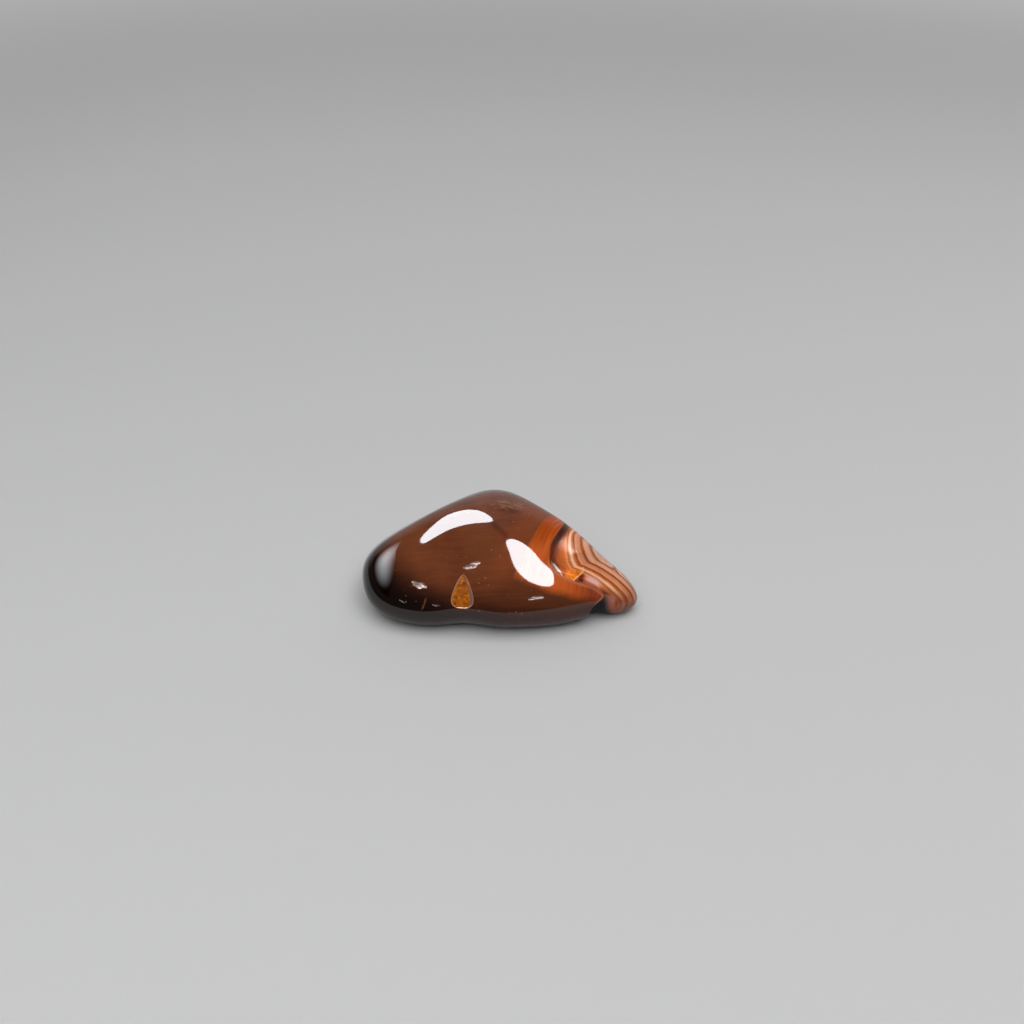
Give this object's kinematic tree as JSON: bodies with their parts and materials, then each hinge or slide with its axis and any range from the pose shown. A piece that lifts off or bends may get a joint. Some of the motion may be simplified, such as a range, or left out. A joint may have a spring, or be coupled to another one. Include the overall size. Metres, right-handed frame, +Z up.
{
  "type": "lake superior agate",
  "caption": "Polished banded agate pebble: a rounded, water-worn body whose folded lip runs over a low, tapering banded tail; it rests on a flat underside.",
  "frame": {"origin": "middle of the stone's box on the surface it rests on", "axes": "+X along the stone towards the banded tail, +Y towards its back, +Z up from the flat underside"},
  "size_m": [0.1002, 0.0624, 0.0391],
  "materials": {
    "agate": "wet polish, dark red-brown chalcedony with orange, cream and brown bands"
  },
  "bodies": {
    "root": {"agate": "agate"}
  },
  "joints": []
}
